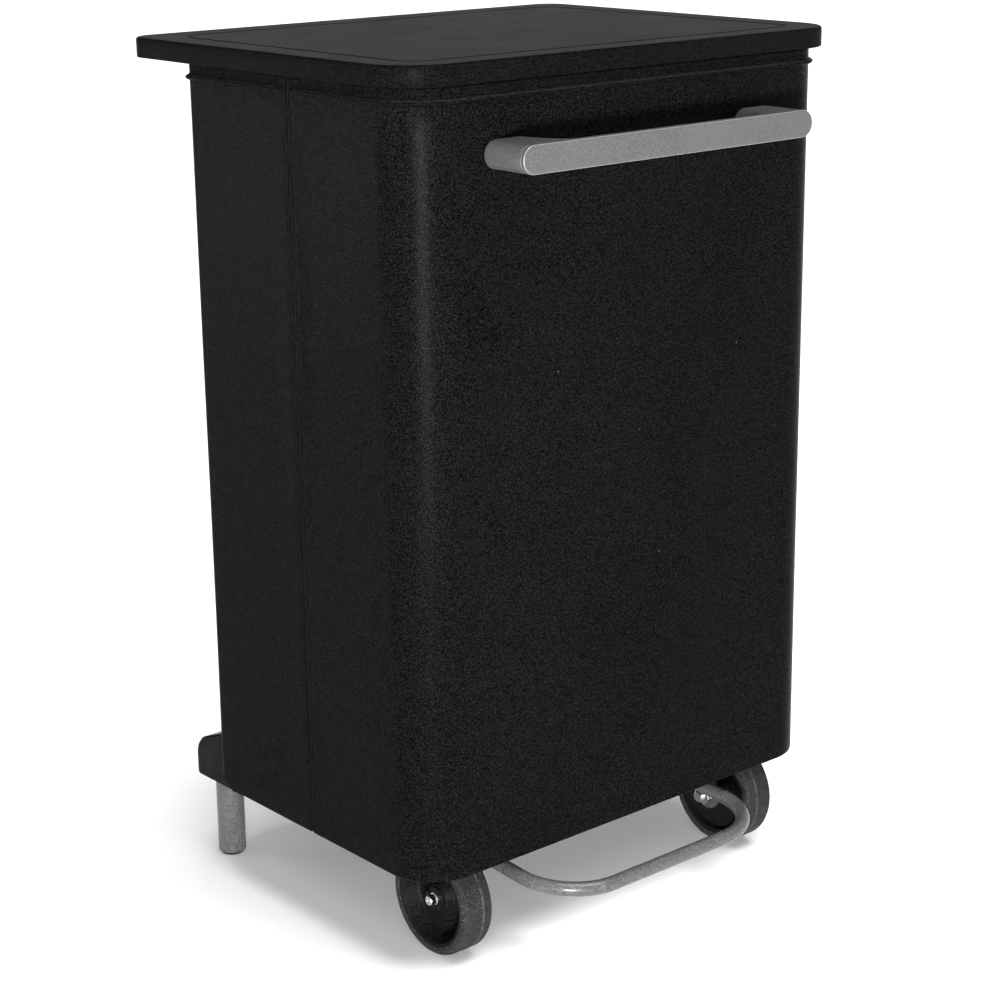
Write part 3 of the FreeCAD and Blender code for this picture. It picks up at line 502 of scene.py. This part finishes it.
def post(profile, centre, steps=48):
    """Turn an open (height, radius) profile about a vertical axis, closed at both ends."""
    rings = []
    for z, r in profile:
        rings.append([(centre[0] + r * math.cos(2 * math.pi * k / steps),
                       centre[1] + r * math.sin(2 * math.pi * k / steps), z) for k in range(steps)])
    return capped(rings)


# ---------------------------------------------------------------- cabinet
WALL_LOW, WALL_HIGH = 118, 790    # the wall's plain stretch, between the lower fold and the bead


def wall_profile():
    """Section of the sheet up the cabinet's side as a closed loop of (height, outward offset)."""
    turn = [math.radians(degrees) for degrees in (0, 30, 60, 90)]
    bead = [(-3.7, 0), (-3.0, 0.3), (-2.3, 1.6), (-1.6, 2.9), (-0.8, 3.7), (0, 3.95)]
    bead += [(-dz, out) for dz, out in reversed(bead[:-1])]
    inner_bead = [(3.4, -SHEET), (0.5, BEAD_INSIDE), (-0.5, BEAD_INSIDE), (-3.4, -SHEET)]
    loop = [(BOTTOM, -LIP)]
    loop += [(BOTTOM + FOLD - FOLD * math.cos(a), FOLD * math.sin(a) - FOLD) for a in turn]
    loop += [(z, 0.0) for z in range(WALL_LOW, WALL_HIGH, 21)]
    loop += [(BEAD_Z + dz, out) for dz, out in bead]
    loop += [(TOP - FOLD + FOLD * math.sin(a), FOLD * math.cos(a) - FOLD) for a in turn]
    loop += [(TOP, -LIP), (TOP - SHEET, -LIP), (TOP - SHEET, -SHEET - 0.2), (TOP - SHEET - 0.2, -SHEET)]
    loop += [(BEAD_Z + dz, out) for dz, out in inner_bead]
    loop += [(z, -SHEET) for z in range(WALL_HIGH - 23, WALL_LOW, -63)]
    loop += [(BOTTOM + SHEET + 0.2, -SHEET), (BOTTOM + SHEET, -SHEET - 0.2), (BOTTOM + SHEET, -LIP)]
    return loop


def flange_path(edge_y, toward, hem):
    """Left-hand seam edge from inside the cabinet to the wall; toward is the wall's way along Y.

    Each point is (x, y, direction x, direction y, share of the lip, share of the bead).
    """
    bend = 1.4
    path = [(FLANGE - HALF, edge_y, 0, -toward, 0, 0), (2.4 - HALF, edge_y, 0, -toward, 0, 0)]
    for k in range(5):
        a = math.radians(90 * k / 4)
        path.append((-HALF + bend - bend * math.sin(a), edge_y + toward * (bend - bend * math.cos(a)),
                     -math.sin(a), -toward * math.cos(a), math.sin(a), 0))
    # A fine pressed line runs beside the hemmed edge.
    if hem:
        for step, sink in ((3.6, 0.0), (4.0, 1.1), (5.2, 1.1), (5.6, 0.0)):
            path.append((sink - HALF, edge_y + toward * step, -1, 0, 1, 0))
    # The bead fades out before it reaches the seam.
    for step, share in ((7.0, 0.12), (8.5, 0.5), (10.0, 0.88), (11.5, 1.0)):
        path.append((-HALF, edge_y + toward * step, -1, 0, 1, share))
    return path


def mirrored_path(path):
    """The right-hand half of a path, in the order that follows on from the left-hand half."""
    return [(-x, y, -nx, ny, lip, bead) for x, y, nx, ny, lip, bead in reversed(path)]


def run(start, end, direction, step=24):
    """Path points along a flat wall that faces direction."""
    return [(x, y, *direction, 1, 1) for x, y in straight(start, end, step)]


def bend_round(cx, cy, radius, start, steps):
    """Path points round a quarter turn of the wall."""
    return [(*point, 1, 1) for point in arc(cx, cy, radius, start, 90, steps)]


def door_path(edge_y):
    """The door in plan, from its left seam edge round the front to the right one."""
    left = flange_path(edge_y, -1, True)
    corner_y, corner_x = FRONT + FRONT_CORNER, HALF - FRONT_CORNER
    left += run(left[-1][:2], (-HALF, corner_y), (-1, 0))
    left += bend_round(-corner_x, corner_y, FRONT_CORNER, 180, 24)
    return left + run((-corner_x, FRONT), (corner_x, FRONT), (0, -1)) + mirrored_path(left)


def rear_path(edge_y):
    """The rear shell in plan, from its left seam edge round the back to the right one."""
    left = flange_path(edge_y, 1, False)
    corner_y, corner_x = BACK - BACK_CORNER, HALF - BACK_CORNER
    left += run(left[-1][:2], (-HALF, corner_y), (-1, 0))
    left += list(reversed(bend_round(-corner_x, corner_y, BACK_CORNER, 90, 10)))
    return left + run((-corner_x, BACK), (corner_x, BACK), (0, 1)) + mirrored_path(left)


def sheet_wave(x, y, z):
    """Very slight unevenness of the pressed sheet, none at its edges."""
    depth = 0.22
    fade = math.sin(math.pi * min(1, max(0, (z - BOTTOM) / (BEAD_Z - 8 - BOTTOM)))) ** 0.5
    return depth * fade * (math.sin(x / 61 + y / 47) * math.sin(z / 93 + x / 140) - 1)


def shell(path):
    """The sheet's section carried along a path in plan, closed at both seam edges."""
    stations = []
    for x, y, nx, ny, lip, bead in path:
        deepest = -max(LIP * lip, SHEET)
        station = []
        for z, out in wall_profile():
            reach = max(out, deepest) if out < 0 else out * bead
            if out == BEAD_INSIDE:
                reach = -SHEET + (BEAD_INSIDE + SHEET) * bead
            if bead == 1 and abs(out) <= SHEET:
                reach += sheet_wave(x, y, z)
            station.append((x + nx * reach, y + ny * reach, z))
        stations.append(station)
    return capped(stations)


def make_cabinet():
    piece("door_panel", shell(door_path(DOOR_HIGH.y)), "door", "black_powder_coat", ["door_shell"])
    # The pedal's arms pass through an opening in the back's lower edge.
    arms_half, arms_top = 150, 137
    inside, below, past = BACK - LIP - 2, BOTTOM - 1, 5
    opening = [(BACK + past, below), (BACK + past, arms_top), (inside, arms_top), (inside, below)]
    # Each side's lower rear corner is rounded.
    corner, side_band = 36, 14
    rim = [(y, z) for y, z, _, _ in arc(BACK - corner, BOTTOM + corner, corner, 0, -90, 12)]
    rounding = [(BACK + past, rim[0][1])] + rim + [(rim[-1][0], BOTTOM - past), (BACK + past, BOTTOM - past)]
    piece("rear_panel", shell(rear_path(REAR_LOW.y)), "base", "black_powder_coat", ["rear_shell"],
          cuts=[(-arms_half, arms_half, opening), (HALF - side_band, HALF + past, rounding),
                (-HALF - past, side_band - HALF, rounding)])


# ---------------------------------------------------------------- lid
def make_lid():
    half, y0, y1 = LID_HIGH.x, LID_LOW.y, LID_HIGH.y
    z0, z1 = LID_LOW.z, LID_HIGH.z
    front_corner, back_corner = 50, 25
    side_border, front_border, back_border, field_corner = 33, 31, 36, 22
    edge, field_drop, groove_deep = 2.8, 0.1, 1.2

    def ring(inset, z):
        outline = rounded_ring(half - inset, y0 + inset, y1 - inset,
                               front_corner - inset, back_corner - inset)
        return [(x, y, z) for x, y in outline]

    def field(grow, z):
        outline = rounded_ring(half - side_border + grow, y0 + front_border - grow, y1 - back_border + grow,
                               field_corner + grow, field_corner + grow)
        return [(x, y, z) for x, y in outline]

    rings = [ring(3, z0 + 2.2), ring(3, z0 + 0.8), ring(2.2, z0), ring(0.8, z0), ring(0.25, z0 + 0.25)]
    rings += [ring(0, z0 + 0.8)]
    rings += [ring(edge - edge * math.cos(a), z1 - edge + edge * math.sin(a))
              for a in (math.radians(d) for d in range(0, 91, 15))]
    rings += [ring(4, z1), ring(9, z1), field(3, z1), field(1.2, z1)]
    # A sloped groove outlines the field.
    rings += [field(0.6, z1 - field_drop), field(-3.2, z1 - groove_deep), field(-3.6, z1 - groove_deep)]
    rings += [field(inset, z1 - field_drop) for inset in (-3.8, -5, -12, -17)]
    piece("lid_cover", capped(rings), "lid", "black_lid", ["lid_shell"], sharp=50)


# ---------------------------------------------------------------- handle
def make_handle():
    centre_z = (COVER_LOW.z + COVER_HIGH.z) / 2
    radius = (COVER_HIGH.z - COVER_LOW.z) / 2
    front, split, panel = COVER_LOW.y, GRIP_LOW.y, GRIP_HIGH.y
    end = COVER_HIGH.x - radius
    bar_back = front + 12
    foot, narrow = 125.0, 108.0     # half width of the finger gap, at the panel and behind the bar

    def finger_gap(share):
        """(x, y) line of the finger gap's left half, at a share of the half height: 0 middle, 1 top."""
        round_in = radius * (1 - math.sqrt(max(0.0, 1 - share ** 2)))
        line = []
        for k in range(15):
            t = k / 14
            p = ((-foot, panel), (-foot + 1, panel - 21), (-foot + 3, bar_back), (-narrow, bar_back))
            weights = ((1 - t) ** 3, 3 * t * (1 - t) ** 2, 3 * t * t * (1 - t), t ** 3)
            x, y = (sum(w * q[axis] for w, q in zip(weights, p)) for axis in (0, 1))
            line.append((x - round_in * (1 - t) ** 1.3, y - round_in * 0.42 * t))
        return line + straight(line[-1], (0, line[-1][1]), 9) + [(0, line[-1][1])]

    def whole(line):
        return line + [(-x, y) for x, y in reversed(line[:-1])]

    shares = [math.sin(math.radians(a)) for a in (-90, -75, -60, -40, -20, 0, 20, 40, 60, 75, 90)]
    walls = [[(x, y, centre_z + radius * share) for x, y in whole(finger_gap(share))] for share in shares]
    slices = 8
    depths = [panel + (split - panel) * k / slices for k in range(slices + 1)]
    steps = len(walls[0]) // 2 - slices
    outer = [(-end, y) for y in depths]
    outer = whole(outer + [(-end + end * k / steps, split) for k in range(1, steps + 1)])

    def level(path, dz):
        return [(x, y, centre_z + dz) for x, y in path]

    def round_end(side, y, angles):
        return [(side * (end - radius * math.cos(a)), y, centre_z + radius * math.sin(a)) for a in angles]

    parts = [grid([walls[-1], level(outer, radius)]), grid([level(outer, -radius), walls[0]]), grid(walls)]
    half_turn = [math.radians(90 + 180 * k / 16) for k in range(17)]
    for side in SIGNS:
        parts.append(grid([round_end(side, y, half_turn) for y in depths]))
        back = round_end(side, panel, half_turn)
        back += [(-side * wall[0][0], *wall[0][1:]) for wall in walls]
        parts.append((back, [tuple(range(len(back)))]))
    across = outer[slices:len(outer) - slices]
    nose = level(across, radius) + round_end(1, split, half_turn[1:-1])
    nose += list(reversed(level(across, -radius))) + round_end(-1, split, list(reversed(half_turn[1:-1])))
    parts.append((nose, [tuple(range(len(nose)))]))
    piece("handle_bow", joined(parts), "door", "grey_moulding", ["handle_grip"],
          bevels=[(0.5, 2, lambda c: abs(c.y - split) < 0.1)], sharp=50)

    def stadium(inset, y):
        r = radius - inset
        angles = [math.pi * k / 20 for k in range(21)]
        return [(side * (end + r * math.sin(a)), y, centre_z + side * r * math.cos(a))
                for side in (1, -1) for a in angles]

    rings = [stadium(0.9, split - 0.2), stadium(0.25, split - 0.5), stadium(0, split - 0.9)]
    nose_round = 1.0
    rings += [stadium(nose_round - nose_round * math.cos(a), front + nose_round - nose_round * math.sin(a))
              for a in (math.radians(d) for d in range(0, 91, 18))]
    rings += [stadium(3.2, front), stadium(6.0, front)]
    cover = piece("handle_front", capped(rings), "door", "grey_moulding", ["handle_cover"], sharp=60)
    # The rounded rim of the cover is polished by hands, and painted lighter: a painted highlight along its
    # edge.
    cover.data.materials.append(worn_rim_and_highlight())
    for face in cover.data.polygons:
        depth = face.center.y / MM - front
        if 0.1 < depth < nose_round * 0.9 and abs(face.normal.y) < 0.97:
            face.material_index = 1


# ---------------------------------------------------------------- linkage box
BOX_WALL = 1.4
BOX_BACK_TOP = 125.0              # where the sloping roof would meet the back, unrounded
BOX_ROUND = 20.0


def box_section(inset):
    """(y, z) points of the box's side outline, from the foot of its front edge round to the roof's front."""
    y0, y1 = BACK, BOX_HIGH.y - inset
    z0 = BOX_LOW.z + inset
    front_z, back_z = BOX_HIGH.z - inset, BOX_BACK_TOP - inset
    lean = math.atan2(front_z - back_z, y1 - y0)
    corner = BOX_ROUND - inset
    foot = 3.0
    points = [(y0, z0)] + [(y, z0) for y, _ in straight((y0, z0), (y1 - foot, z0), 12)]
    points += [(y, z) for y, z, _, _ in arc(y1 - foot, z0 + foot, foot, 270, 90, 4)]
    turn = 90 - math.degrees(lean)
    reach = corner * math.tan(math.radians(turn) / 2)
    points += [(y, z) for y, z, _, _ in arc(y1 - corner, back_z - reach, corner, 0, turn, 10)]
    points += [(y0, front_z)]
    return points


def make_linkage_box():
    half = BOX_HIGH.x
    stations = [half * (2 * k / 24 - 1) for k in range(25)]
    verts, faces = grid([[(x, y, z) for y, z in box_section(0)] for x in stations])
    low, high = 110, 160
    column_room = [(BACK - 1, low), (COLUMN_BACK, low), (COLUMN_BACK, high), (BACK - 1, high)]
    piece("linkage_cover", (verts, [tuple(reversed(face)) for face in faces]), "base", "black_powder_coat",
          ["linkage_box"], wall=BOX_WALL, cuts=[(-COLUMN_HALF, COLUMN_HALF, column_room)])
    # Each cap plugs into the box, and its outer edge is rounded.
    rings = [(half - 6, 1.8), (half, 1.8), (half + 0.02, 0.35), (half + 0.4, 0)]
    rings += [(CAP_OUT - 1.4, 0), (CAP_OUT - 0.6, 0.25), (CAP_OUT - 0.15, 0.8), (CAP_OUT, 1.6)]
    # Its foot reaches forward under the cabinet, behind the panel's rounded corner.
    toe = 9
    nose = [(BACK + 1, BOX_LOW.z)]
    nose += [(y, z) for y, z, _, _ in arc(BACK - 16, BOX_LOW.z + toe, toe, 270, -90, 6)]
    nose += [(BACK - 16 - toe, 130), (BACK - 12, 140), (BACK + 1, 140)]
    for name, side in (("left", -1), ("right", 1)):
        shape = capped([[(side * x, y, z) for y, z in box_section(inset)] for x, inset in rings])
        foot = capped([[(side * x, y, z) for y, z in nose] for x in (half, CAP_OUT - 0.1)])
        piece("box_cap_" + name, joined([shape, foot]), "base", "black_moulding", ["box_end_cap_" + name],
              sharp=45)


# ---------------------------------------------------------------- legs
def make_legs():
    for name, side in (("left", -1), ("right", 1)):
        low, high = corners("leg_" + name)
        centre = ((low.x + high.x) / 2, (low.y + high.y) / 2)
        r = (high.x - low.x) / 2
        hem = low.z - 2.4
        tube = [(hem, r - 1.9), (hem, r - 1.3), (hem + 0.4, r - 0.6), (hem + 1.2, r), (BOX_LOW.z - 20, r),
                (BOX_LOW.z - 2, r), (BOX_LOW.z + 10, r), (high.z, r)]
        piece("leg_tube_" + name, post(tube, centre), "base", "grey_paint", ["leg_" + name], sharp=50)
        plug = [(0, r - 5.5), (0, r - 3.2), (0.5, r - 2.4), (1.2, r - 2.0), (hem - 0.05, r - 1.8)]
        plug += [(hem, r - 2.2)]
        piece("leg_foot_" + name, post(plug, centre), "base", "black_moulding", ["leg_plugs"], sharp=50)


# ---------------------------------------------------------------- pedal
def make_pedal():
    pivot_y, pivot_z = (PIVOT_LOW.y + PIVOT_HIGH.y) / 2, (PIVOT_LOW.z + PIVOT_HIGH.z) / 2
    bar_y, bar_z = BOW_LOW.y + TUBE_R, BOW_LOW.z + TUBE_R
    half = BOW_HIGH.x - TUBE_R
    bend = 62.0
    slope = math.atan2(pivot_z - bar_z, pivot_y - bar_y)
    reach = math.hypot(pivot_z - bar_z, pivot_y - bar_y)
    tail = (BOW_HIGH.y - pivot_y) / math.cos(slope)
    centre_line = [(-half, y, -1, 0) for y in (tail, tail - 6)]
    centre_line += [(-half, y, -1, 0) for _, y in straight((0, tail - 6), (0, bend - reach), 16)]
    centre_line += list(arc(bend - half, bend - reach, bend, 180, 90, 22))
    centre_line += [(x, -reach, 0, -1) for x, _ in straight((bend - half, 0), (0, 0), 12)]
    centre_line += [(0, -reach, 0, -1)]
    centre_line += [(-x, y, -nx, ny) for x, y, nx, ny in reversed(centre_line[:-1])]

    def placed(x, y, z):
        """From the pedal's own level frame, pivot at zero, to its place."""
        level, rise = math.cos(slope), math.sin(slope)
        return (x, pivot_y + y * level - z * rise, pivot_z + y * rise + z * level)

    sides = 32
    round_tube = [(TUBE_R * math.cos(a), TUBE_R * math.sin(a)) for a in
                  (2 * math.pi * k / sides for k in range(sides))]
    rings = []
    for x, y, nx, ny in centre_line:
        rings.append([placed(x + across * nx, y + across * ny, rise) for across, rise in round_tube])
    piece("pedal_tube", capped(rings), "pedal", "grey_paint", ["pedal_bow"], sharp=50)

    # Weld beads where the pivot sleeve and the rear bar meet the arms.
    bar_reach = ((REAR_BAR_LOW.y + REAR_BAR_HIGH.y) / 2 - pivot_y) / math.cos(slope)
    bead_r, ripples = 1.3, 9
    inner = half - TUBE_R - 0.3
    beads = []
    for along, radius in ((0.0, TUBE_R + 1.6), (bar_reach, TUBE_R + 0.6)):
        for side in SIGNS:
            rings = []
            for k in range(48):
                a = 2 * math.pi * k / 48
                swollen = bead_r * (1.0 + 0.18 * math.sin(ripples * a))
                ring = []
                for b in (2 * math.pi * j / 8 for j in range(8)):
                    r = radius + swollen * math.sin(b)
                    ring.append(placed(side * (inner + swollen * math.cos(b)),
                                       along + r * math.cos(a), r * math.sin(a)))
                rings.append(ring)
            beads.append(grid(rings, closed_ring=True, closed_stack=True))
    piece("pedal_welds", joined(beads), "pedal", "grey_paint", sharp=80)


# ---------------------------------------------------------------- wheels
def make_wheels():
    for name, side in (("left", -1), ("right", 1)):
        low, high = corners("tyre_" + name)
        centre = ((low.y + high.y) / 2, (low.z + high.z) / 2)
        big = (high.z - low.z) / 2
        inner, outer = WHEEL_INNER, WHEEL_OUTER
        seat = big - 9      # where the tyre sits on the hub
        land = big - 0.15   # the tread beside its moulding line
        shoulder = [(0, big - 5), (0.5, big - 3.2), (1.6, big - 1.5), (3.2, big - 0.5), (5, land)]
        tread = [(inner, seat)] + [(inner + x, r) for x, r in shoulder]
        tread += [(TREAD_LINE + x, r) for x, r in ((-1.2, land), (-0.7, big), (0.7, big), (1.2, land))]
        tread += [(outer - x, r) for x, r in reversed(shoulder)]
        tread += [(outer, seat + 1.0), (outer - 0.6, seat + 0.3), (outer - 0.6, seat)]
        piece("tread_" + name, lathe(tread, centre, side, 120), "wheel_" + name, "tyre_rubber",
              ["tyre_" + name], sharp=40)
        rim_in, rim_out = inner + 1, outer - 1
        web_in, web_out = inner + 9, inner + 15
        boss, bore = outer - 10.4, 6.05
        back = [(inner, bore), (inner, 12), (inner + 0.8, 13), (web_in - 1, 14.5), (web_in, 16)]
        back += [(web_in, seat - 7), (web_in - 1.5, seat - 5), (rim_in, seat - 4), (rim_in, seat)]
        rim = [(rim_out - 0.5, seat), (rim_out, seat - 0.5), (rim_out, seat - 2.6)]
        rim += [(rim_out - 0.8, seat - 3.4)]
        dish = [(web_out + 3, seat - 5.5), (web_out, seat - 8), (web_out, 30), (web_out + 1.4, 29)]
        dish += [(web_out + 1.4, 26), (web_out, 25), (web_out, 16), (web_out + 1.5, 14.5)]
        middle = [(boss - 0.8, 13), (boss, 12.2), (boss, bore)]
        piece("hub_" + name, lathe(back + rim + dish + middle, centre, side), "wheel_" + name,
              "black_moulding", ["wheel_hub_" + name], sharp=40)


def make_axles():
    """Axle bolts with a chamfered end, a hexagon and a threaded tail."""
    tyre_low, tyre_high = corners("tyre_left")
    centre = ((tyre_low.y + tyre_high.y) / 2, (tyre_low.z + tyre_high.z) / 2)
    out = corners("axle_bolts")[1].x
    bracket_in = corners("wheel_bracket_right")[1].x - 3
    tail, pitch, nut_r = bracket_in - 14, 1.1, 10.39
    pin = [(tail, 0.01), (tail, 4.6)]
    for k in range(5):
        x = tail + 0.8 + pitch * k
        pin += [(x, 5.9), (x + pitch / 2, 5.3)]
    pin += [(bracket_in - 8, 6.0), (out - 7.0, 6.0), (out - 6.3, 4.9), (out - 0.9, 4.9), (out - 0.2, 4.3)]
    pin += [(out, 3.5), (out, 1.4), (out - 0.7, 0.8), (out - 0.7, 0.01)]
    nut = [(bracket_in - 8, nut_r - 1.39), (bracket_in - 7.2, nut_r), (bracket_in - 0.8, nut_r)]
    nut += [(bracket_in, nut_r - 0.99)]
    flats = [math.radians(60 * k + 12) for k in range(6)]
    parts = []
    for side in SIGNS:
        parts.append(lathe(pin, centre, side, 40))
        parts.append(capped([[(side * x, centre[0] + r * math.cos(a), centre[1] + r * math.sin(a))
                              for a in flats] for x, r in nut]))
    piece("axle_pins", joined(parts), "base", "bright_steel", ["axle_bolts"], sharp=30)


make_cabinet()
make_lid()
make_handle()
make_linkage_box()
make_legs()
make_pedal()
make_wheels()
make_axles()

# ---------------------------------------------------------------- carried CAD nodes
SLOT_OF = {part["node"]: part["material_slot"] for part in frame["record"]["subparts"]}
for node, obj in frame["nodes"].items():
    obj.data.materials.clear()
    obj.data.materials.append(MATERIALS[SLOT_OF[node]])


# ---------------------------------------------------------------- floor and light
def make_floor():
    mesh = bpy.data.meshes.new("floor")
    reach = 22.0    # metres
    square = [(-reach, -reach, 0), (reach, -reach, 0), (reach, reach, 0), (-reach, reach, 0)]
    mesh.from_pydata(square, [], [(0, 1, 2, 3)])
    floor = bpy.data.objects.new("floor", mesh)
    scene.collection.objects.link(floor)
    look = Look("floor", grey(0.92), 0.9, Specular_IOR_Level=0.0)
    look.tint(look.remap(look.noise(2, 2), 0.4, 0.7, 0.0, 0.4), 0.93)
    mesh.materials.append(look.material)


def area_light(name, place, target, width, height, power):
    """A soft box in metres and watts, pointed at target."""
    data = bpy.data.lights.new(name, "AREA")
    data.shape, data.size, data.size_y, data.energy = "RECTANGLE", width, height, power
    light = bpy.data.objects.new(name, data)
    light.location = place
    light.rotation_euler = (Vector(target) - Vector(place)).to_track_quat("-Z", "Y").to_euler()
    light.visible_camera = False
    scene.collection.objects.link(light)


def make_world():
    """Studio surroundings: white at the horizon, falling to grey overhead."""
    world = bpy.data.worlds.new("studio")
    world.use_nodes = True
    tree = world.node_tree
    background = tree.nodes["Background"]
    direction = tree.nodes.new("ShaderNodeTexCoord")
    axes = tree.nodes.new("ShaderNodeSeparateXYZ")
    tree.links.new(direction.outputs["Generated"], axes.inputs[0])
    fade = tree.nodes.new("ShaderNodeMapRange")
    for name, number in (("From Min", 0.02), ("From Max", 0.45), ("To Min", 0.92), ("To Max", 0.29)):
        fade.inputs[name].default_value = number
    tree.links.new(axes.outputs["Z"], fade.inputs["Value"])
    tree.links.new(fade.outputs["Result"], background.inputs["Strength"])
    background.inputs["Color"].default_value = (1, 1, 1, 1)
    scene.world = world


def make_light():
    """A broad overhead sun, a low glint for the front left corner, and two weak washes."""
    make_world()
    data = bpy.data.lights.new("overhead", "SUN")
    data.energy, data.angle = 4.0, math.radians(40)
    light = bpy.data.objects.new("overhead", data)
    light.rotation_euler = Vector((0.10, -0.26, 1)).to_track_quat("Z", "Y").to_euler()
    scene.collection.objects.link(light)
    area_light("corner_glint", (-2.17, -2.72, 0.30), (-0.24, -0.16, 0.70), 0.17, 0.42, 310)
    area_light("side_wash", (-1.60, 1.85, 0.40), (-0.255, 0.12, 0.75), 0.35, 0.30, 5)
    area_light("front_key", (-2.1, -2.7, 2.7), (0, 0, 0.5), 1.2, 1.2, 22)
    scene.view_settings.view_transform = "Standard"
    scene.view_settings.look = "None"


make_floor()
make_light()
